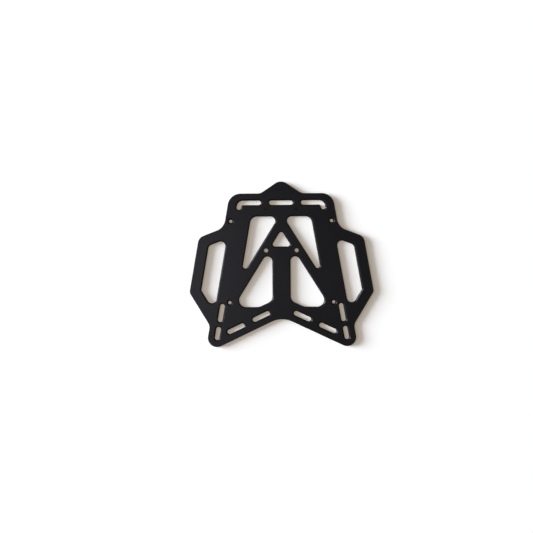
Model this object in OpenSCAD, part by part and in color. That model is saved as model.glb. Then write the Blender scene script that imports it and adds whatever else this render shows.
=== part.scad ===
// A flat luggage rack plate for the tail of a motorcycle, cut from one sheet of aluminium.
// X runs across the motorcycle, Y towards the rack's pointed nose, and Z up from its flat underside.
// The right half is laid out from the deck's front edge backwards, and mirrored.
// Widths, lengths and angles are those of the sharp corners, before they are rounded.

/* [Plate] */
// Thickness of the plate
plate_t = 8; // [6:0.5:12]
// Chamfer around each opening and slot, on the top
opening_chamfer = 2; // [1:0.25:2.5]
// Small break on every other edge
edge_break = 0.5; // [0.2:0.1:0.8]

/* [Deck] */
// Width across the two front corners
front_w = 167.8; // [164:0.2:172]
// Lean of the sides away from straight back, in degrees
side_lean = 10; // [8:0.5:12]
// Rounding of the front corners
shoulder_r = 21.3; // [18:0.1:24]
// Width of the nose where it meets the front edge
nose_w = 67.4; // [60:0.2:74]
// How far the nose stands out from the front edge
nose_rise = 22.6; // [18:0.2:28]
// Rounding of the nose
nose_r = 16.3; // [12:0.1:20]
// Rounding between the nose and the front edge
nose_foot_r = 14.7; // [10:0.1:20]

/* [Grips] */
// Width across the two grips
overall_w = 301.4; // [294:0.2:308]
// Distance from the front edge back to the root of each grip
grip_back = 55.6; // [50:0.2:60]
// Sweep of the grip's front bar, in degrees
grip_sweep = 21; // [18:0.5:24]
// Distance from the front edge back to the widest point
tip_back = 161.2; // [156:0.2:166]
// Lean of the grip's rear bar away from straight back, in degrees
tail_lean = 31.2; // [29:0.2:33]
// Width of the bar all round a grip
grip_w = 18.2; // [14:0.2:20]
// Rounding between the deck's side and the grip
grip_root_r = 21.8; // [16:0.1:26]
// Rounding of the grip's front corner
grip_front_r = 14.2; // [10:0.1:18]
// Rounding at the widest point
tip_r = 10; // [6:0.1:14]
// Rounding of a hand opening's corners
hand_r = 7.8; // [6:0.1:9]
// Rounding of a hand opening's outermost corner
hand_tip_r = 3; // [2:0.1:5]
// How far a hand opening reaches inside the line of the deck's side
hand_inset = 7.4; // [5:0.2:9]
// Width of the rail between a hand opening and the window beside it
rail_w = 33.6; // [31:0.2:36]

/* [Rear edge] */
// Distance between the centres of the two rear lobes
lobe_span = 212.4; // [208:0.2:216]
// Distance from the front edge back to the centres of the rear lobes
lobe_back = 235.5; // [232:0.2:240]
// Slope of the notched rear edge, in degrees
notch_slope = 25.35; // [23:0.05:27]
// Rounding of the notch
notch_r = 38.8; // [30:0.2:46]
// Rounding between a grip and its lobe
neck_r = 14.7; // [10:0.1:18]

/* [Frame of the windows] */
// Width of the band behind the front edge
front_band = 37.4; // [34:0.2:40]
// Width of the band in front of the rear edge
rear_band = 30.3; // [28:0.2:33]
// Distance from the front edge back to the rear windows' straight rear edge
floor_back = 185.6; // [182:0.2:188]
// Lean of the two diagonal legs away from straight back, in degrees
leg_lean = 32; // [31:0.2:33]
// Width of a diagonal leg
leg_w = 15; // [12:0.2:18]
// Distance from the front edge back to where the legs' inner edges would meet
leg_apex_back = 59.7; // [57:0.2:62]
// Width of the centre post
post_w = 30; // [26:0.2:34]
// Distance from the front edge back to the base of the small triangle
triangle_back = 86.8; // [84:0.2:90]
// Rounding of the small triangle
triangle_r = 3.8; // [2:0.1:4.5]
// Rounding of a front window's inner corner
front_inner_r = 7.5; // [5:0.1:9]
// Rounding of a front window's outer corner
front_outer_r = 11.5; // [8:0.1:14]
// Rounding of a front window's rear tip
front_tip_r = 4; // [3:0.1:5]
// Rounding of a rear window's narrow top
rear_top_r = 7.8; // [6:0.1:9]
// Rounding of a rear window's corner at the post
rear_inner_r = 11.3; // [8:0.1:14]
// Rounding of a rear window's blunt corner
rear_blunt_r = 18; // [12:0.2:24]
// Rounding of a rear window's outer corner
rear_outer_r = 11.4; // [8:0.1:14]

/* [Strap slots] */
// Width of the slots
slot_w = 7.5; // [6:0.1:9]
// Distance of the slots' centre line from the plate's edge, and the lobes' rounding
slot_inset = 15; // [13:0.1:17]
// Overall length of the slot behind the nose
nose_slot_l = 38.7; // [34:0.1:42]
// Web between the nose slot and each bent slot
front_web = 13.4; // [11:0.1:16]
// Distance of a bent slot's short leg from the deck's side
bent_leg_inset = 18.6; // [17:0.1:21]
// Radius of the bend's inner wall
bend_inner_r = 2.8; // [2.8:0.1:3.6]
// Reach of a bent slot's short leg past the corner, to its end's centre
bent_leg_l = 7.8; // [7.8:0.1:10]
// Overall length of each slot along the rear edge
rear_slot_l = 30.5; // [26:0.1:33]
// Web between the slots along the rear edge
rear_web = 15.3; // [12:0.1:17]
// Overall length of the slot in each lobe
lobe_slot_l = 21.8; // [18:0.1:24]
// Overall length of the slot between a lobe and a hand opening
side_slot_l = 29.9; // [26:0.1:32]
// Web between those two slots
side_web = 8.1; // [7:0.1:11]

/* [Holes] */
// Distance between the two tie holes in the middle
tie_spacing = 50; // [44:1:56]
// Distance from the front edge back to the tie holes
tie_back = 93.2; // [91:0.2:95]
// Diameter of the tie holes
tie_d = 6.6; // [5:0.1:7]
// Distance between the two front mounting holes
front_mount_spacing = 165; // [160:0.5:166]
// Distance from the front edge back to the front mounting holes
front_mount_back = 44.9; // [42:0.2:50]
// Distance between the two rear mounting holes
rear_mount_spacing = 170; // [166:0.5:174]
// Distance from the front edge back to the rear mounting holes
rear_mount_back = 178; // [174:0.2:180]
// Diameter of the mounting holes
mount_d = 5.5; // [4.5:0.1:6.5]
// Diameter of their countersinks at the top face
countersink_d = 10.4; // [9:0.1:12]
// Angle of the countersinks, in degrees
countersink_angle = 90; // [82:1:100]
// Distance between the two small blind holes
pilot_spacing = 50; // [44:1:56]
// Distance from the front edge back to the small blind holes
pilot_back = 26.2; // [25:0.2:29]
// Diameter of the small blind holes
pilot_d = 3.3; // [2.5:0.1:4.2]
// Depth of the small blind holes
pilot_depth = 5; // [3:0.5:5.5]

/* [Hidden] */
// How far a cut runs past the faces that it starts from and ends on
clear = 0.2;
// How far the section of a cut or a rim reaches back from its wall
tuck = 2;
// Spare radius with which an arc crosses its straight edges instead of only touching them
cross_over = 0.002;
// How far a slot's bend runs on into its straight stretches, in degrees
bend_overrun = 2;
arc_fn = 96;
lobe_r = slot_inset;

// A unit vector that points along a heading
function toward(a) = [cos(a), sin(a)];
// The heading from one point to another
function heading(a, b) = atan2(b[1] - a[1], b[0] - a[0]);
// A line is a point and a heading. Seen along it, the plate or the opening lies on its left.
function line_through(point, a) = [point, a];
// The same line moved to its left
function moved_left(line, d) = [line[0] + d * toward(line[1] + 90), line[1]];
// The point where two lines cross
function meet(m, n) =
  m[0] + toward(m[1]) * cross(n[0] - m[0], toward(n[1])) / cross(toward(m[1]), toward(n[1]));
// A corner is a point and the radius that rounds it
function corner(point, r) = [point[0], point[1], r];

// The lines of the right half's outline, walked anticlockwise from the notch to the nose
lobe_centre = [lobe_span / 2, -lobe_back];
rear_line = moved_left(line_through(lobe_centre, -notch_slope), -slot_inset);
neck_line = moved_left(line_through(lobe_centre, 90 + side_lean), -slot_inset);
tip = [overall_w / 2, -tip_back];
tail_line = line_through(tip, 90 - tail_lean);
grip_line = line_through(tip, 90 + side_lean);
side_line = line_through([front_w / 2, 0], 90 + side_lean);
front_line = line_through([0, 0], 180);
grip_root = meet(side_line, line_through([0, -grip_back], 0));
grip_front_line = line_through(grip_root, 180 - grip_sweep);
nose_tip = [0, nose_rise];
nose_foot = [nose_w / 2, 0];
mid_line = line_through([0, 0], 90);

// The outline's corners on the right, from the lobe to the foot of the nose
half_outline = [
  corner(meet(rear_line, neck_line), lobe_r),
  corner(meet(neck_line, tail_line), neck_r),
  corner(tip, tip_r),
  corner(meet(grip_line, grip_front_line), grip_front_r),
  corner(grip_root, grip_root_r),
  corner(meet(side_line, front_line), shoulder_r),
  corner(nose_foot, nose_foot_r)
];
outline = [
  each half_outline,
  corner(nose_tip, nose_r),
  for (i = [len(half_outline) - 1:-1:0]) [-half_outline[i][0], half_outline[i][1], half_outline[i][2]],
  corner(meet(rear_line, mid_line), notch_r)
];

// The hand opening keeps the grip's bar at one width
hand_inner_line = moved_left(side_line, hand_inset);
hand_opening = [
  corner(meet(hand_inner_line, moved_left(tail_line, grip_w)), hand_r),
  corner(meet(moved_left(tail_line, grip_w), moved_left(grip_line, grip_w)), hand_tip_r),
  corner(meet(moved_left(grip_line, grip_w), moved_left(grip_front_line, grip_w)), hand_r),
  corner(meet(moved_left(grip_front_line, grip_w), hand_inner_line), hand_r)
];

// The windows leave two diagonal legs, a centre post, two rails and two bands
leg_inner_line = line_through([0, -leg_apex_back], leg_lean - 90);
leg_outer_line = moved_left(leg_inner_line, leg_w);
rail_line = moved_left(hand_inner_line, rail_w);
window_front_line = moved_left(front_line, front_band);
window_rear_line = moved_left(rear_line, rear_band);
floor_line = line_through([0, -floor_back], 0);
post_line = line_through([post_w / 2, 0], -90);
triangle_line = line_through([0, -triangle_back], 0);
triangle_corner = meet(leg_inner_line, triangle_line);

front_window = [
  corner(meet(leg_outer_line, rail_line), front_tip_r),
  corner(meet(rail_line, window_front_line), front_outer_r),
  corner(meet(window_front_line, leg_outer_line), front_inner_r)
];
rear_window = [
  corner(meet(post_line, window_rear_line), rear_inner_r),
  corner(meet(window_rear_line, floor_line), rear_blunt_r),
  corner(meet(floor_line, leg_inner_line), rear_outer_r),
  corner(meet(leg_inner_line, post_line), rear_top_r)
];
triangle = [
  corner(-[triangle_corner[0], triangle_back], triangle_r),
  corner(triangle_corner, triangle_r),
  corner([0, -leg_apex_back], triangle_r)
];

// The slots' centre lines, and the points on them where slots start and end
front_slot_line = moved_left(front_line, slot_inset);
leg_slot_line = moved_left(side_line, bent_leg_inset);
bend_corner = meet(leg_slot_line, front_slot_line);
bend_r = bend_inner_r + slot_w / 2;
nose_slot_half = nose_slot_l / 2 - slot_w / 2;
bent_start = [nose_slot_half + slot_w + front_web, -slot_inset];
bent_end = bend_corner - bent_leg_l * toward(leg_slot_line[1]);
rear_slot_centres = rear_slot_l - slot_w;
rear_step = rear_web + slot_w;
lobe_slot_centres = lobe_slot_l - slot_w;
side_slot_start = lobe_slot_centres + slot_w + side_web;
side_slot_end = side_slot_start + side_slot_l - slot_w;
// Points along the rear edge, and up the neck, at a distance from the lobe's centre
function along_rear(d) = lobe_centre + d * toward(180 - notch_slope);
function along_neck(d) = lobe_centre + d * toward(90 + side_lean);

// How a closed path of corners turns at corner i, and the arc that rounds it
function before(path, i) = path[(i + len(path) - 1) % len(path)];
function after(path, i) = path[(i + 1) % len(path)];
function wrapped(a) = a > 180 ? a - 360 : a <= -180 ? a + 360 : a;
function head_in(path, i) = heading(before(path, i), path[i]);
function head_out(path, i) = heading(path[i], after(path, i));
function turn_at(path, i) = wrapped(head_out(path, i) - head_in(path, i));
function place(path, i) = [path[i][0], path[i][1]];
function edge_length(path, i) = norm(place(path, (i + 1) % len(path)) - place(path, i));
function full_setback(path, i) = path[i][2] * tan(abs(turn_at(path, i)) / 2);
// A rounding shrinks where it and its neighbour's would need more than the edge between them
function room(path, i) =
  edge_length(path, i) / (full_setback(path, i) + full_setback(path, (i + 1) % len(path)));
function share(path, i) = min(1, room(path, i), room(path, (i + len(path) - 1) % len(path)));
function radius_at(path, i) = path[i][2] * share(path, i);
function setback(path, i) = full_setback(path, i) * share(path, i);
function arc_start(path, i) = place(path, i) - setback(path, i) * toward(head_in(path, i));
function arc_end(path, i) = place(path, i) + setback(path, i) * toward(head_out(path, i));
function arc_centre(path, i) =
  arc_start(path, i) + radius_at(path, i) * toward(head_in(path, i) + 90 * sign(turn_at(path, i)));
function is_concave(path, i) = turn_at(path, i) < 0;

// Sections through a wall: how far each point lies outside the wall, and its height
rim_section = [
  [-tuck, -clear], [-edge_break - clear, -clear],
  [0, edge_break], [0, plate_t - edge_break],
  [-edge_break - clear, plate_t + clear], [-tuck, plate_t + clear]
];
function cut_section(top_chamfer) = [
  [-tuck, -clear], [edge_break + clear, -clear],
  [0, edge_break], [0, plate_t - top_chamfer],
  [top_chamfer + clear, plate_t + clear], [-tuck, plate_t + clear]
];
opening_section = cut_section(opening_chamfer);

// A section turned about an upright axis, with its wall at radius r
module turned(r, section) {
  rotate_extrude($fn = arc_fn)
    polygon([
      [0, -clear],
      for (s = section) if (s[0] > -tuck) [r + cross_over + s[0], s[1]],
      [0, plate_t + clear]
    ]);
}

// A section drawn straight from point a to point b, with the wall on its right
module drawn(a, b, section) {
  translate([b[0], b[1], 0])
    rotate([90, 0, heading(a, b) - 90])
      linear_extrude(norm(b - a))
        polygon(section);
}

// The points of a solid's core at corner i, inside the section that runs round it. Where the path
// turns inwards they stand out from the wall, for the hollow there to be cut from them.
function core_points(path, i) =
  let (inwards = tuck / 2 * toward(head_in(path, i) + 90), onwards = tuck / 2 * toward(head_out(path, i) + 90))
  is_concave(path, i)
    ? [arc_start(path, i) + inwards, arc_start(path, i) - inwards,
       arc_end(path, i) - onwards, arc_end(path, i) + onwards]
    : [arc_start(path, i) + inwards, arc_end(path, i) + onwards];

// A solid with a rounded outline and the given section all round it
module moulded(path, section) {
  last = len(path) - 1;
  difference() {
    union() {
      translate([0, 0, -clear])
        linear_extrude(plate_t + 2 * clear)
          polygon([for (i = [0:last]) each core_points(path, i)]);
      for (i = [0:last]) {
        next = i == last ? 0 : i + 1;
        drawn(
          arc_end(path, i) - (is_concave(path, i) ? tuck / 2 : 0) * toward(head_out(path, i)),
          arc_start(path, next) + (is_concave(path, next) ? tuck / 2 : 0) * toward(head_out(path, i)),
          section);
        if (!is_concave(path, i))
          translate(arc_centre(path, i)) turned(radius_at(path, i), section);
      }
    }
    for (i = [0:last])
      if (is_concave(path, i))
        translate(arc_centre(path, i)) turned(radius_at(path, i), cut_section(edge_break));
  }
}

// The half section of a slot, doubled into a section across its whole width
function across(section) = [
  for (s = section) if (s[0] > -tuck) [slot_w / 2 + s[0], s[1]],
  for (i = [len(section) - 1:-1:0]) if (section[i][0] > -tuck) [-slot_w / 2 - section[i][0], section[i][1]]
];

// A slot with round ends, from one end's centre to the other's
module slot(a, b) {
  drawn(a, b, across(opening_section));
  for (p = [a, b]) translate(p) turned(slot_w / 2, opening_section);
}

// A slot that follows a front corner: two straight stretches and the bend between them
module bent_slot() {
  sweep = 90 - side_lean;
  bend_setback = bend_r * tan(sweep / 2);
  bend_start = bend_corner - [bend_setback, 0];
  bend_end = bend_corner - bend_setback * toward(leg_slot_line[1]);
  drawn(bent_start, bend_start, across(opening_section));
  drawn(bend_end, bent_end, across(opening_section));
  for (p = [bent_start, bent_end]) translate(p) turned(slot_w / 2, opening_section);
  translate(bend_start - [0, bend_r])
    rotate(90 - sweep - bend_overrun)
      rotate_extrude(angle = sweep + 2 * bend_overrun, $fn = arc_fn)
        polygon([for (s = across(opening_section)) [bend_r + s[0] + sign(s[0]) * cross_over, s[1]]]);
}

module hole(x, y, d, section_break = edge_break) {
  translate([x, y, -clear])
    cylinder(d = d, h = plate_t + 2 * clear, $fn = arc_fn);
  translate([x, y, -clear])
    cylinder(d1 = d + 2 * (section_break + clear), d2 = d, h = section_break + clear, $fn = arc_fn);
}

// A tie hole with a small break at both ends
module tie_hole(x, y) {
  hole(x, y, tie_d);
  translate([x, y, plate_t - edge_break])
    cylinder(d1 = tie_d, d2 = tie_d + 2 * (edge_break + clear), h = edge_break + clear, $fn = arc_fn);
}

// A mounting hole for a countersunk screw
module mounting_hole(x, y) {
  slope = tan(countersink_angle / 2);
  sink_depth = (countersink_d - mount_d) / 2 / slope;
  hole(x, y, mount_d);
  translate([x, y, plate_t - sink_depth])
    cylinder(d1 = mount_d, d2 = countersink_d + 2 * clear * slope, h = sink_depth + clear, $fn = arc_fn);
}

// A small blind hole, drilled from the top
module pilot_hole(x, y) {
  translate([x, y, plate_t - pilot_depth])
    cylinder(d = pilot_d, h = pilot_depth + clear, $fn = arc_fn);
}

// Everything that is cut from the right half
module right_cuts() {
  moulded(hand_opening, opening_section);
  moulded(front_window, opening_section);
  moulded(rear_window, opening_section);
  bent_slot();
  slot(along_rear(rear_step), along_rear(rear_step + rear_slot_centres));
  slot(along_rear(2 * rear_step + rear_slot_centres), along_rear(2 * (rear_step + rear_slot_centres)));
  slot(along_neck(0), along_neck(lobe_slot_centres));
  slot(along_neck(side_slot_start), along_neck(side_slot_end));
  tie_hole(tie_spacing / 2, -tie_back);
  mounting_hole(front_mount_spacing / 2, -front_mount_back);
  mounting_hole(rear_mount_spacing / 2, -rear_mount_back);
  pilot_hole(pilot_spacing / 2, -pilot_back);
}

// The plate's reach towards the nose and towards the lobes, from its rounded ends
nose_reach = arc_centre(outline, len(half_outline))[1] + nose_r;
lobe_reach = lobe_centre[1] - lobe_r;

module rack_plate() {
  color("#26282b")
    translate([0, -(nose_reach + lobe_reach) / 2, 0])
      difference() {
        intersection() {
          moulded(outline, rim_section);
          translate([-overall_w, -overall_w, 0]) cube([2 * overall_w, 2 * overall_w, plate_t]);
        }
        for (side = [0, 1]) mirror([side, 0, 0]) right_cuts();
        moulded(triangle, opening_section);
        slot([-nose_slot_half, -slot_inset], [nose_slot_half, -slot_inset]);
      }
}

rack_plate();
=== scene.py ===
"""The looks of a flat motorcycle luggage rack: one plate of black anodised aluminium, on pale paper."""

import math

import bpy
import numpy as np
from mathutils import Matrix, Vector
from mathutils.geometry import delaunay_2d_cdt


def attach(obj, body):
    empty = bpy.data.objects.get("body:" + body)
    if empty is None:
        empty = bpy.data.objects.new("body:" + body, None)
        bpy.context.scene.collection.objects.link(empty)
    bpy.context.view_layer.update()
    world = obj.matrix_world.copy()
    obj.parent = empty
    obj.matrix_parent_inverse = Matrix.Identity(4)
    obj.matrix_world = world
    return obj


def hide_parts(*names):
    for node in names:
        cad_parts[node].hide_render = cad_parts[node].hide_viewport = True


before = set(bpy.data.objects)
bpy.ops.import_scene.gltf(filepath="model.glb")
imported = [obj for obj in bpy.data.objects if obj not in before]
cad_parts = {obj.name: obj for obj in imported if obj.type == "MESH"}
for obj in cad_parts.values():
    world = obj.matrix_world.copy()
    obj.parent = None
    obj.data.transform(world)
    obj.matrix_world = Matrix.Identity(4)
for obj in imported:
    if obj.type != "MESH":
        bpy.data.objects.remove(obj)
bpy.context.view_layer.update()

MM = 0.001

# The plate's sizes, in millimetres and degrees, as the part's source has them. A heading is
# anticlockwise from the right, and a place is (across, forwards) from the middle of the front edge.
THICK = 8.0
CHAMFER = 2.0
SIDE_LEAN = 10.0
GRIP_SWEEP = 21.0
TAIL_LEAN = 31.2
NOTCH_SLOPE = 25.35
LEG_LEAN = 32.0

# The outline's corners, and the radius that rounds each
FRONT_CORNER = (83.9, 0.0)
NOSE_TIP = (0.0, 22.6)
NOSE_FOOT = (33.7, 0.0)
WIDEST = (150.7, -161.2)
LOBE = (106.2, -235.5)
GRIP_ROOT_BACK = 55.6
SHOULDER_R = 21.3
NOSE_R = 16.3
NOSE_FOOT_R = 14.7
GRIP_ROOT_R = 21.8
GRIP_FRONT_R = 14.2
TIP_R = 10.0
NECK_R = 14.7
NOTCH_R = 38.8

# The hand openings
GRIP_WIDTH = 18.2
HAND_INSET = 7.4
HAND_R = 7.8
HAND_TIP_R = 3.0

# The windows, and the ribs and bands round them
RAIL_WIDTH = 33.6
FRONT_BAND = 37.4
REAR_BAND = 30.3
FLOOR_BACK = 185.6
LEG_WIDTH = 15.0
LEG_APEX = (0.0, -59.7)
POST_WIDTH = 30.0
TRIANGLE_BACK = 86.8
TRIANGLE_R = 3.8
FRONT_TIP_R = 4.0
FRONT_OUTER_R = 11.5
FRONT_INNER_R = 7.5
REAR_TOP_R = 7.8
REAR_INNER_R = 11.3
REAR_BLUNT_R = 18.0
REAR_OUTER_R = 11.4

# The strap slots. The webs lie between the slots of one row.
SLOT_WIDTH = 7.5
SLOT_INSET = 15.0
NOSE_SLOT = 38.7
FRONT_WEB = 13.4
BENT_LEG_INSET = 18.6
BENT_REACH = 7.8
BEND_INNER_R = 2.8
REAR_SLOT = 30.5
REAR_WEB = 15.3
LOBE_SLOT = 21.8
SIDE_SLOT = 29.9
SIDE_WEB = 8.1

# The holes on the right half
TIE_HOLE = (25.0, -93.2)
TIE_DIAMETER = 6.6
FRONT_MOUNT = (82.5, -44.9)
REAR_MOUNT = (85.0, -178.0)
MOUNT_DIAMETER = 5.5
SINK_DIAMETER = 10.4
SINK_DEPTH = (SINK_DIAMETER - MOUNT_DIAMETER) / 2
PILOT_HOLE = (25.0, -26.2)
PILOT_DIAMETER = 3.3
PILOT_DEPTH = 5.0

# The rounded edges, how far a wall's profile reaches into the flat faces, and how finely the
# edges and the plan's arcs are divided
SOFT_EDGE = 0.7
CHAMFER_EDGE = 0.45
SINK_EDGE = 0.2
FACE_MARGIN = 4.0
ARC_STEP = math.radians(4)
PROFILE_STEP = math.radians(15)
SAME_POINT = 1e-6


def toward(heading):
    """The unit vector at a heading: its cosine and its sine."""
    turn = np.radians(heading)
    return np.array([np.cos(turn), np.sin(turn)])


def line(point, heading):
    """A straight line through a point. Seen along it, the plate or the opening is on its left."""
    return np.array(point, float), heading


def moved_left(a_line, distance):
    """The same line, moved square to itself to its left."""
    point, heading = a_line
    return point + distance * toward(heading + 90), heading


def meet(first, second):
    """The crossing of two lines p + s u and q + t v, where s = ((q - p) x v) / (u x v)."""
    (p, u_heading), (q, v_heading) = first, second
    u, v = toward(u_heading), toward(v_heading)
    gap = q - p
    along = (gap[0] * v[1] - gap[1] * v[0]) / (u[0] * v[1] - u[1] * v[0])
    return p + along * u


def corner(point, radius):
    """A corner of a plan or a profile, and the radius that rounds it."""
    return (point[0], point[1], radius)


def mirrored(corners):
    """The corners of the left half: x changes its sign, and the order turns round to keep the sense."""
    return [(-x, y, radius) for x, y, radius in reversed(corners)]


def rounded(corners, closed, step):
    """Corners with their roundings drawn as arcs.

    At a corner that turns by w with radius r, the arc starts r tan(|w| / 2) before the corner, and
    its points are c + r (sin, -cos) of the running heading, on the side that the path turns to.
    Returns the points and the normals on the path's right, as two arrays.
    """
    table = np.array(corners, float)
    place, radius = table[:, :2], table[:, 2]
    onwards = np.roll(place, -1, axis=0) - place
    length = np.linalg.norm(onwards, axis=1)
    head_out = np.arctan2(onwards[:, 1], onwards[:, 0])
    head_in = np.roll(head_out, 1)
    turn = (head_out - head_in + math.pi) % (2 * math.pi) - math.pi
    if not closed:
        turn[[0, -1]] = 0
    full = radius * np.tan(np.abs(turn) / 2)
    room = length / np.maximum(full + np.roll(full, -1), SAME_POINT)
    share = np.minimum(1, np.minimum(room, np.roll(room, 1)))
    radius = radius * share
    start = place - (full * share)[:, None] * np.stack([np.cos(head_in), np.sin(head_in)], 1)
    side = np.sign(turn)
    points, normals = [], []
    for i in range(len(table)) if closed else range(1, len(table) - 1):
        count = max(2, 1 + int(round(abs(turn[i]) / step)))
        heading = head_in[i] + turn[i] * np.linspace(0, 1, count)
        right = np.stack([np.sin(heading), -np.cos(heading)], 1)
        centre = start[i] - side[i] * radius[i] * right[0]
        points.append(centre + side[i] * radius[i] * right)
        normals.append(right)
    points, normals = np.concatenate(points), np.concatenate(normals)
    if closed:
        kept = np.linalg.norm(points - np.roll(points, 1, axis=0), axis=1) > SAME_POINT
        points, normals = points[kept], normals[kept]
    return points, normals


def slot_plan(start, heading, length):
    """A slot with round ends: a rectangle rounded by half its width, walked anticlockwise."""
    along, half = toward(heading), SLOT_WIDTH / 2
    side = toward(heading + 90)
    a, b = start - half * along, start + (length - half) * along
    ends = [a - half * side, b - half * side, b + half * side, a + half * side]
    return [corner(end, half) for end in ends]


def round_plan(x, y, diameter):
    """A round hole: a square rounded by half its side."""
    half = diameter / 2
    return [corner((x + i * half, y + j * half), half) for i, j in ((-1, -1), (1, -1), (1, 1), (-1, 1))]


rear_line = moved_left(line(LOBE, -NOTCH_SLOPE), -SLOT_INSET)
neck_line = moved_left(line(LOBE, 90 + SIDE_LEAN), -SLOT_INSET)
tail_line = line(WIDEST, 90 - TAIL_LEAN)
grip_line = line(WIDEST, 90 + SIDE_LEAN)
side_line = line(FRONT_CORNER, 90 + SIDE_LEAN)
front_line = line((0, 0), 180)
grip_root = meet(side_line, line((0, -GRIP_ROOT_BACK), 0))
grip_front_line = line(grip_root, 180 - GRIP_SWEEP)
middle_line = line((0, 0), 90)


def outline_plan():
    """The plate's outline, anticlockwise from the notch's right to its left."""
    right = [
        corner(meet(rear_line, neck_line), SLOT_INSET),
        corner(meet(neck_line, tail_line), NECK_R),
        corner(WIDEST, TIP_R),
        corner(meet(grip_line, grip_front_line), GRIP_FRONT_R),
        corner(grip_root, GRIP_ROOT_R),
        corner(FRONT_CORNER, SHOULDER_R),
        corner(NOSE_FOOT, NOSE_FOOT_R),
    ]
    nose = corner(NOSE_TIP, NOSE_R)
    notch = corner(meet(rear_line, middle_line), NOTCH_R)
    return [*right, nose, *mirrored(right), notch]


def hand_plan():
    """The right hand opening: the grip's outer lines moved in by its bar, and a line in the deck."""
    inner = moved_left(side_line, HAND_INSET)
    tail = moved_left(tail_line, GRIP_WIDTH)
    grip = moved_left(grip_line, GRIP_WIDTH)
    front = moved_left(grip_front_line, GRIP_WIDTH)
    return [
        corner(meet(inner, tail), HAND_R),
        corner(meet(tail, grip), HAND_TIP_R),
        corner(meet(grip, front), HAND_R),
        corner(meet(front, inner), HAND_R),
    ]


def window_plans():
    """The right front window, the right rear window and the triangle, round the diagonal leg."""
    leg_inner = line(LEG_APEX, LEG_LEAN - 90)
    leg_outer = moved_left(leg_inner, LEG_WIDTH)
    rail = moved_left(moved_left(side_line, HAND_INSET), RAIL_WIDTH)
    front = moved_left(front_line, FRONT_BAND)
    rear = moved_left(rear_line, REAR_BAND)
    floor_edge = line((0, -FLOOR_BACK), 0)
    post = line((POST_WIDTH / 2, 0), -90)
    front_window = [
        corner(meet(leg_outer, rail), FRONT_TIP_R),
        corner(meet(rail, front), FRONT_OUTER_R),
        corner(meet(front, leg_outer), FRONT_INNER_R),
    ]
    rear_window = [
        corner(meet(post, rear), REAR_INNER_R),
        corner(meet(rear, floor_edge), REAR_BLUNT_R),
        corner(meet(floor_edge, leg_inner), REAR_OUTER_R),
        corner(meet(leg_inner, post), REAR_TOP_R),
    ]
    base = meet(leg_inner, line((0, -TRIANGLE_BACK), 0))
    triangle = [corner(place, TRIANGLE_R) for place in ((-base[0], base[1]), base, LEG_APEX)]
    return front_window, rear_window, triangle


def bent_slot_plan():
    """The slot that follows a front corner: an L of one width, rounded at its bend and its ends."""
    half = SLOT_WIDTH / 2
    across = moved_left(front_line, SLOT_INSET)
    leg = moved_left(side_line, BENT_LEG_INSET)
    foot = meet(across, leg) - BENT_REACH * toward(leg[1])
    end = line(foot - half * toward(leg[1]), leg[1] + 90)
    leg_right, leg_left = moved_left(leg, -half), moved_left(leg, half)
    front, rear = moved_left(across, -half), moved_left(across, half)
    start = line((NOSE_SLOT / 2 + FRONT_WEB, 0), -90)
    return [
        corner(meet(start, rear), half),
        corner(meet(rear, leg_left), BEND_INNER_R),
        corner(meet(leg_left, end), half),
        corner(meet(end, leg_right), half),
        corner(meet(leg_right, front), BEND_INNER_R + SLOT_WIDTH),
        corner(meet(front, start), half),
    ]


def opening_plans():
    """The plans of all chamfered openings: the right half's, their mirror images and the middle ones."""
    lobe, up_neck, along_rear = np.array(LOBE), 90 + SIDE_LEAN, 180 - NOTCH_SLOPE
    rear_first = REAR_WEB + SLOT_WIDTH
    rear_second = rear_first + REAR_SLOT + REAR_WEB
    side_first = LOBE_SLOT + SIDE_WEB
    slots = [
        slot_plan(lobe + rear_first * toward(along_rear), along_rear, REAR_SLOT),
        slot_plan(lobe + rear_second * toward(along_rear), along_rear, REAR_SLOT),
        slot_plan(lobe, up_neck, LOBE_SLOT),
        slot_plan(lobe + side_first * toward(up_neck), up_neck, SIDE_SLOT),
    ]
    front_window, rear_window, triangle = window_plans()
    right = [hand_plan(), front_window, rear_window, bent_slot_plan(), *slots]
    nose_start = np.array([(SLOT_WIDTH - NOSE_SLOT) / 2, -SLOT_INSET])
    return [*right, *[mirrored(plan) for plan in right], triangle, slot_plan(nose_start, 0, NOSE_SLOT)]


def profile(corners):
    """A wall's profile from the top face to the underside: how far out, and how high.

    Its ends lie inside the flat faces, so that it starts and ends flat.
    """
    points, right = rounded(corners, False, PROFILE_STEP)
    return points, -right


def through_profile(bevel=0, bevel_edge=0):
    """The profile of a wall right through the plate, with a 45 degree bevel at its top if asked for."""
    top = [(0, THICK, SOFT_EDGE)]
    if bevel:
        top = [(-bevel, THICK, bevel_edge), (0, THICK - bevel, bevel_edge)]
    return profile([(-FACE_MARGIN, THICK, 0), *top, (0, 0, SOFT_EDGE), (-FACE_MARGIN, 0, 0)])


rim_profile = through_profile()
opening_profile = through_profile(CHAMFER, CHAMFER_EDGE)
mount_profile = through_profile(SINK_DEPTH, SINK_EDGE)
pilot_floor = THICK - PILOT_DEPTH
pilot_profile = profile([
    (-FACE_MARGIN, THICK, 0), (0, THICK, SINK_EDGE), (0, pilot_floor, SINK_EDGE),
    (PILOT_DIAMETER / 2 - SINK_EDGE, pilot_floor, 0)])


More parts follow.
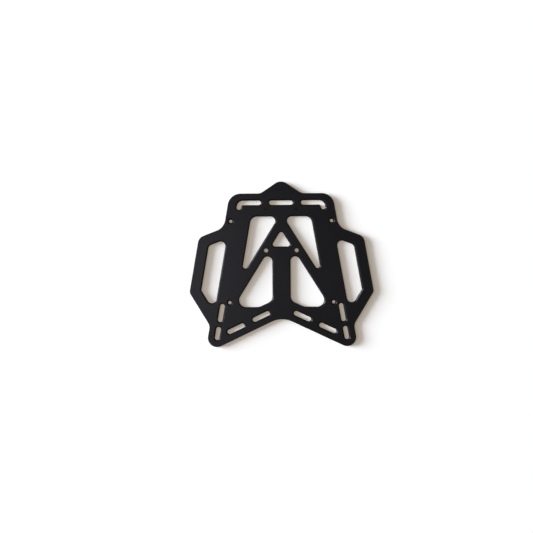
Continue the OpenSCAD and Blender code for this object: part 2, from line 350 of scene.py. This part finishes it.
def profile_marks(normal):
    """What each point of a profile is, from the rise z of its normal: three values from 0 to 1.

    Wall is 1 - 2 |z|, bevel is 1 - 4 | |z| - sin 45 |, both cut off at 0, and edge is 1 where the
    normal turns on both sides of the point, as it does only within a rounded edge.
    """
    rise = np.abs(normal[:, 1])
    turning = np.linalg.norm(np.diff(normal, axis=0), axis=1) > SAME_POINT
    edge = np.concatenate([[False], turning[:-1] & turning[1:], [False]])
    wall_part = np.clip(1 - 2 * rise, 0, 1)
    bevel_part = np.clip(1 - 4 * np.abs(rise - math.sin(math.pi / 4)), 0, 1)
    return np.stack([wall_part, bevel_part, edge.astype(float)], 1)


def wall(plan, a_profile):
    """A profile carried along a closed plan: point (i, j) is p_i + d_j n_i, at height z_j.

    p_i and n_i are the plan's points and normals, and d_j and z_j the profile's. Returns the
    vertices, their normals and marks, the distances along the plan and down the profile, and the
    whole way round the plan.
    """
    points, outwards = rounded(plan, True, ARC_STEP)
    section, section_normal = a_profile
    flat = points[:, None, :] + section[None, :, :1] * outwards[:, None, :]
    high = np.broadcast_to(section[None, :, 1:], flat.shape[:2] + (1,))
    place = np.concatenate([flat, high], 2)
    level = section_normal[None, :, :1] * outwards[:, None, :]
    upright = np.broadcast_to(section_normal[None, :, 1:], high.shape)
    normal = np.concatenate([level, upright], 2)
    marks = np.broadcast_to(profile_marks(section_normal)[None], flat.shape[:2] + (3,))
    along = np.concatenate([[0], np.cumsum(np.linalg.norm(np.diff(points, axis=0), axis=1))])
    down = np.concatenate([[0], np.cumsum(np.linalg.norm(np.diff(section, axis=0), axis=1))])
    around = np.linalg.norm(points[-1] - points[0]) + along[-1]
    return place, normal, marks, along, down, around


def inside(points, loops):
    """Whether points lie in the plate: a level ray from each crosses the loops an odd number of times.

    The ray from p goes to the right. It crosses an edge from a to b if p's height lies between
    theirs and p is left of the edge, whose x is a_x + (p_y - a_y) (b_x - a_x) / (b_y - a_y) there.
    """
    crossings = np.zeros(len(points), int)
    for loop in loops:
        a, b = loop, np.roll(loop, -1, axis=0)
        spans = (a[None, :, 1] > points[:, None, 1]) != (b[None, :, 1] > points[:, None, 1])
        rise = np.where(a[:, 1] == b[:, 1], 1, b[:, 1] - a[:, 1])
        slope = (b[:, 0] - a[:, 0]) / rise
        at = a[None, :, 0] + (points[:, None, 1] - a[None, :, 1]) * slope[None, :]
        crossings += (spans & (at > points[:, None, 0])).sum(1)
    return crossings % 2 == 1


def cap(loops, starts, upwards):
    """Triangles that fill a flat face between its loops, as rows of vertex numbers.

    Point k of a loop is vertex start + k stride. A triangle is kept if its middle is inside, and
    turned round if its doubled area (b - a) x (c - a) has the wrong sign for its side.
    """
    flat = np.concatenate(loops)
    numbers = np.concatenate([
        start + stride * np.arange(len(loop)) for loop, (start, stride) in zip(loops, starts)])
    firsts = np.cumsum([0] + [len(loop) for loop in loops])
    edges = np.concatenate([
        np.stack([np.arange(a, b), np.append(np.arange(a + 1, b), a)], 1)
        for a, b in zip(firsts, firsts[1:])])
    made = delaunay_2d_cdt(flat.tolist(), edges.tolist(), [], 0, SAME_POINT)
    points, corners, origins = np.array(made[0]), np.array(made[2]), np.array(made[3])
    middles = points[corners].mean(1)
    corners = origins[corners[inside(middles, loops)], 0]
    a, b, c = flat[corners[:, 0]], flat[corners[:, 1]], flat[corners[:, 2]]
    area = (b[:, 0] - a[:, 0]) * (c[:, 1] - a[:, 1]) - (b[:, 1] - a[:, 1]) * (c[:, 0] - a[:, 0])
    turned = (area > 0) != upwards
    corners[turned] = corners[turned][:, ::-1]
    return numbers[corners]


def plate_plans():
    """Every closed plan of the plate with the profile of its wall. The plate is on each plan's left."""
    plans = [(outline_plan(), rim_profile)]
    plans += [(plan[::-1], opening_profile) for plan in opening_plans()]
    holes = (
        (TIE_HOLE, TIE_DIAMETER, rim_profile),
        (FRONT_MOUNT, MOUNT_DIAMETER, mount_profile),
        (REAR_MOUNT, MOUNT_DIAMETER, mount_profile),
        (PILOT_HOLE, PILOT_DIAMETER, pilot_profile),
    )
    for (x, y), diameter, a_profile in holes:
        plans += [(round_plan(side * x, y, diameter)[::-1], a_profile) for side in (1, -1)]
    return plans


def wall_faces(first, along, down, around):
    """The quads of one wall's grid, and their corners' (along, down) on the map of the cut sides."""
    rows, columns = len(along), len(down)
    i, j = np.meshgrid(np.arange(rows), np.arange(columns - 1), indexing="ij")
    here, after = i * columns + j, (i + 1) % rows * columns + j
    quads = first + np.stack([here, here + 1, after + 1, after], 2)
    u, u_after = along[i], np.append(along[1:], around)[i]
    v, v_after = down[j], down[j + 1]
    corner_u = np.stack([u, u, u_after, u_after], 2)
    corner_v = np.stack([v, v_after, v_after, v], 2)
    return quads.reshape(-1, 4), np.stack([corner_u, corner_v], 3).reshape(-1, 2)


def plate():
    """The whole plate: a wall along each plan, and a flat face on top and underneath between them.

    Returns the points, their normals and marks, the walls' quads and map, and the flat faces.
    """
    places, normals, marked, quads, mapped, floors = [], [], [], [], [], []
    tops, top_starts, bottoms, bottom_starts = [], [], [], []
    first = 0
    for plan, a_profile in plate_plans():
        place, normal, marks, along, down, around = wall(plan, a_profile)
        rows, columns = place.shape[:2]
        wall_quads, wall_map = wall_faces(first, along, down, around)
        quads.append(wall_quads)
        mapped.append(wall_map)
        places.append(place.reshape(-1, 3))
        normals.append(normal.reshape(-1, 3))
        marked.append(marks.reshape(-1, 3))
        tops.append(place[:, 0, :2])
        top_starts.append((first, columns))
        last = first + columns - 1
        if a_profile is pilot_profile:
            floors.append((last + columns * np.arange(rows)[::-1]).tolist())
        else:
            bottoms.append(place[:, -1, :2])
            bottom_starts.append((last, columns))
        first += rows * columns
    flats = cap(tops, top_starts, True).tolist() + cap(bottoms, bottom_starts, False).tolist() + floors
    arrays = [np.concatenate(parts) for parts in (places, normals, marked, quads, mapped)]
    return *arrays, flats


def make_plate():
    """Puts the plate's arrays into a mesh with exact normals, a map of its cut sides and their marks.

    The frame's origin is below the middle of the plate's length, so y is moved by that middle.
    """
    place, normal, marks, quads, wall_map, flats = plate()
    middle = (place[:, 1].max() + LOBE[1] - SLOT_INSET) / 2
    place = place * MM - np.array([0, middle * MM, 0])
    mesh = bpy.data.meshes.new("plate")
    mesh.from_pydata(place.tolist(), [], quads.tolist() + flats)
    mesh.shade_smooth()
    uv = np.zeros((len(mesh.loops), 2))
    uv[:len(wall_map)] = wall_map * MM
    mesh.uv_layers.new(name="cut").data.foreach_set("uv", uv.ravel())
    for name, values in zip(("wall", "bevel", "edge"), marks.T):
        mesh.attributes.new(name, "FLOAT", "POINT").data.foreach_set("value", values.astype(np.float32))
    mesh.normals_split_custom_set_from_vertices(normal.tolist())
    piece = bpy.data.objects.new("anodised_plate", mesh)
    bpy.context.scene.collection.objects.link(piece)
    return piece


class Shade:
    """One output of a shader node. Sums, differences, products and powers of it add Math nodes."""

    def __init__(self, tree, socket):
        self.tree = tree
        self.socket = socket

    def math(self, operation, first, second):
        return node(self.tree, "ShaderNodeMath", {"operation": operation}, {0: first, 1: second})

    def __add__(self, other):
        return self.math("ADD", self, other)

    def __radd__(self, other):
        return self.math("ADD", other, self)

    def __sub__(self, other):
        return self.math("SUBTRACT", self, other)

    def __rsub__(self, other):
        return self.math("SUBTRACT", other, self)

    def __mul__(self, other):
        return self.math("MULTIPLY", self, other)

    def __rmul__(self, other):
        return self.math("MULTIPLY", other, self)

    def __pow__(self, other):
        return self.math("POWER", self, other)


def node(tree, kind, settings=None, inputs=None, output=0):
    """A node of a kind: its settings are set first, then its inputs get values or links."""
    made = tree.nodes.new(kind)
    for name, value in (settings or {}).items():
        setattr(made, name, value)
    for name, value in (inputs or {}).items():
        if isinstance(value, Shade):
            tree.links.new(value.socket, made.inputs[name])
        else:
            made.inputs[name].default_value = value
    return Shade(tree, made.outputs[output])


def blended(tree, factor, first, second):
    """Two colours, mixed by a factor: factor 0 gives the first. The colours are sockets 6 and 7."""
    return node(tree, "ShaderNodeMix", {"data_type": "RGBA"}, {0: factor, 6: first, 7: second}, 2)


def noise(tree, place, per_metre, detail):
    """Smooth noise from 0 to 1, with so many features to the metre."""
    inputs = {"Vector": place, "Scale": per_metre, "Detail": detail}
    return node(tree, "ShaderNodeTexNoise", {}, inputs, "Fac")


def lines(tree, distance, per_metre):
    """Noise along one distance only, so that it draws lines square to it, so many to the metre."""
    inputs = {"W": distance * per_metre, "Scale": 1.0, "Detail": 2.0}
    return node(tree, "ShaderNodeTexNoise", {"noise_dimensions": "1D"}, inputs, "Fac")


def attribute(tree, name):
    """A value that the mesh stores for each of its points."""
    return node(tree, "ShaderNodeAttribute", {"attribute_name": name}, output="Fac")


def empty_material(name):
    """A material with nothing in its node tree, that tree and its new output."""
    material = bpy.data.materials.new(name)
    material.use_nodes = True
    tree = material.node_tree
    tree.nodes.clear()
    return material, tree, tree.nodes.new("ShaderNodeOutputMaterial")


DARK_ANODISING = (0.0038, 0.0038, 0.0050, 1)
LIGHT_ANODISING = (0.0068, 0.0068, 0.0086, 1)
# The lighter colour of the rounded edges: partly worn dye, partly a painted edge highlight
WORN_AND_HIGHLIT_EDGE = (0.030, 0.030, 0.033, 1)
COATING_IOR = 1.45

# The roughness of the smoothest face, what clouds and speckle add to it, and what a cut side lacks
SATIN = 0.27
CLOUDED = 0.10
SPECKLED = 0.10
SMOOTHER_CUT = 0.04

# The relief: shares of the bump's distance
GRAIN_HEIGHT = 0.35
FEED_HEIGHT = 0.6
BEVEL_HEIGHT = 0.3
BUMP_STRENGTH = 0.5
BUMP_DISTANCE = 0.1 * MM


def anodised_black():
    """Satin black anodising over blasted faces and cut sides.

    The whole plate has a fine grain. The walls have upright feed lines too, and the bevels lines
    along them. The rounded edges are a little lighter, in patches, by the square of a noise: partly
    worn dye, partly a painted edge highlight. Handling leaves the gloss slightly uneven.
    """
    material, tree, output = empty_material("satin_black_anodising")
    place = node(tree, "ShaderNodeTexCoord", output="Object")
    cut = node(tree, "ShaderNodeUVMap", {"uv_map": "cut"})
    along = node(tree, "ShaderNodeSeparateXYZ", {}, {"Vector": cut}, "X")
    down = node(tree, "ShaderNodeSeparateXYZ", {}, {"Vector": cut}, "Y")
    on_wall, on_bevel, on_edge = [attribute(tree, name) for name in ("wall", "bevel", "edge")]
    clouds = noise(tree, place, per_metre=16, detail=3)
    patches = noise(tree, place, per_metre=110, detail=3)
    grain = noise(tree, place, per_metre=1900, detail=2)
    speckle = noise(tree, place, per_metre=900, detail=3)
    feed_lines = lines(tree, along, per_metre=1500)
    bevel_lines = lines(tree, down, per_metre=5000)
    colour = blended(tree, clouds, DARK_ANODISING, LIGHT_ANODISING)
    # The rounded edges made lighter in patches: worn dye and a painted edge highlight
    colour = blended(tree, on_edge * (patches ** 2), colour, WORN_AND_HIGHLIT_EDGE)
    rough = SATIN + CLOUDED * clouds + SPECKLED * speckle
    rough = rough - SMOOTHER_CUT * on_wall - SMOOTHER_CUT * on_bevel
    relief = GRAIN_HEIGHT * grain + on_wall * FEED_HEIGHT * feed_lines
    relief = relief + on_bevel * BEVEL_HEIGHT * bevel_lines
    bump = node(tree, "ShaderNodeBump", {}, {
        "Height": relief, "Strength": BUMP_STRENGTH, "Distance": BUMP_DISTANCE}, "Normal")
    surface = node(tree, "ShaderNodeBsdfPrincipled", {}, {
        "Base Color": colour, "Roughness": rough, "Normal": bump, "IOR": COATING_IOR})
    tree.links.new(surface.socket, output.inputs["Surface"])
    return material


# The paper is a little blue under its warm glow, so that the two together read as white
PAPER_WHITE = (0.81, 0.865, 0.93, 1)
WARM_GLOW = (1.0, 0.81, 0.57, 1)
GLOW_STRENGTH = 0.27
BLACK = (0, 0, 0, 1)
WHITE = (1, 1, 1, 1)


def paper():
    """Matt white paper. The camera alone sees a faint warm glow on it, which fills the shadows."""
    material, tree, output = empty_material("white_paper")
    matt = node(tree, "ShaderNodeBsdfDiffuse", {}, {"Color": PAPER_WHITE})
    seen = node(tree, "ShaderNodeLightPath", output="Is Camera Ray")
    warm = blended(tree, seen, BLACK, WARM_GLOW)
    glow = node(tree, "ShaderNodeEmission", {}, {"Color": warm, "Strength": GLOW_STRENGTH})
    both = node(tree, "ShaderNodeAddShader", {}, {0: matt, 1: glow})
    tree.links.new(both.socket, output.inputs["Surface"])
    return material


FLOOR_HALF = 6.0
# A hair under the plate, so that the two flat faces don't flicker where they meet
FLOOR_TOP = -0.05 * MM


def lay_paper():
    """A square of paper, a floor for the plate. It is part of the stage."""
    signs = ((-1, -1), (1, -1), (1, 1), (-1, 1))
    corners = [(i * FLOOR_HALF, j * FLOOR_HALF, FLOOR_TOP) for i, j in signs]
    mesh = bpy.data.meshes.new("paper_floor")
    mesh.from_pydata(corners, [], [range(len(corners))])
    mesh.materials.append(paper())
    paper_floor = bpy.data.objects.new("paper_floor", mesh)
    bpy.context.scene.collection.objects.link(paper_floor)


# The camera looks straight down. Its foot and the picture's middle are places on the plate's top.
PICTURE_WIDTH = 0.8704
CAMERA_HEIGHT = 1.48
FOOT = (-0.049, -0.031)
MIDDLE = (-0.0245, -0.0040)
PICTURE_TURN = math.radians(-0.47)
SENSOR = 36.0


def add_camera():
    """A camera over its foot, turned with the picture, and shifted to bring the picture's middle in."""
    data = bpy.data.cameras.new("camera")
    data.sensor_width = SENSOR
    data.lens = SENSOR * CAMERA_HEIGHT / PICTURE_WIDTH
    data.shift_x = (MIDDLE[0] - FOOT[0]) / PICTURE_WIDTH
    data.shift_y = (MIDDLE[1] - FOOT[1]) / PICTURE_WIDTH
    camera = bpy.data.objects.new("camera", data)
    turn = np.array([[math.cos(PICTURE_TURN), -math.sin(PICTURE_TURN)],
                     [math.sin(PICTURE_TURN), math.cos(PICTURE_TURN)]])
    camera.location = (*(turn @ np.array(FOOT)), THICK * MM + CAMERA_HEIGHT)
    camera.rotation_euler = (0, 0, PICTURE_TURN)
    bpy.context.scene.collection.objects.link(camera)
    bpy.context.scene.camera = camera


def add_lamp(data, place, colour, energy):
    """Puts a lamp at a place, facing the origin, with its colour and its energy."""
    data.color = colour
    data.energy = energy
    lamp = bpy.data.objects.new(data.name, data)
    lamp.location = place
    lamp.rotation_euler = (-Vector(place)).to_track_quat("-Z", "Y").to_euler()
    bpy.context.scene.collection.objects.link(lamp)
    return lamp


def add_far_lamp(name, place, strength, width, colour):
    """A distant soft lamp in the direction of a place, as wide as an angle in degrees."""
    data = bpy.data.lights.new(name, "SUN")
    data.angle = math.radians(width)
    return add_lamp(data, place, colour, strength)


def add_softbox(name, place, size, power, colour):
    """A square lamp near the plate."""
    data = bpy.data.lights.new(name, "AREA")
    data.shape = "SQUARE"
    data.size = size
    return add_lamp(data, place, colour, power)


def add_room(colour, strength):
    """The room's plain dim light, the same from everywhere. The camera sees it as plain white."""
    world = bpy.data.worlds.new("room")
    world.use_nodes = True
    tree = world.node_tree
    tree.nodes.clear()
    seen = node(tree, "ShaderNodeLightPath", output="Is Camera Ray")
    tint = blended(tree, seen, colour, WHITE)
    level = strength * (1 - seen) + seen
    shine = node(tree, "ShaderNodeBackground", {}, {"Color": tint, "Strength": level})
    output = tree.nodes.new("ShaderNodeOutputWorld")
    tree.links.new(shine.socket, output.inputs["Surface"])
    bpy.context.scene.world = world


NEUTRAL = (1.0, 1.0, 1.0)
DAYLIGHT = (0.90, 0.94, 1.0)
COOL_SOFTBOX = (0.87, 0.85, 1.0)
WARM_ROOM = (1.0, 0.93, 0.85, 1)

piece = make_plate()
piece.data.materials.append(anodised_black())
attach(piece, "root")
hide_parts("rack_plate")
lay_paper()
add_camera()

# The strongest lamp stays out of reflections, or its low light would turn the plate white from the
# right. The glint lamp shows in the bevels that face left in its place.
low_left_lamp = add_far_lamp(
    "low_left_lamp", place=(-1.5, 0.2, 0.61), strength=5.2, width=29, colour=NEUTRAL)
low_left_lamp.visible_glossy = False
add_far_lamp("left_window", place=(-1.0, 0.1, 0.36), strength=0.9, width=90, colour=DAYLIGHT)
add_far_lamp("glint_lamp", place=(-1.0, 0.41, 0.16), strength=1.5, width=20, colour=NEUTRAL)
add_softbox("near_softbox", place=(-0.38, 0.0, 1.2), size=0.4, power=1.36, colour=COOL_SOFTBOX)
add_room(WARM_ROOM, strength=0.10)
bpy.context.scene.view_settings.view_transform = "Standard"
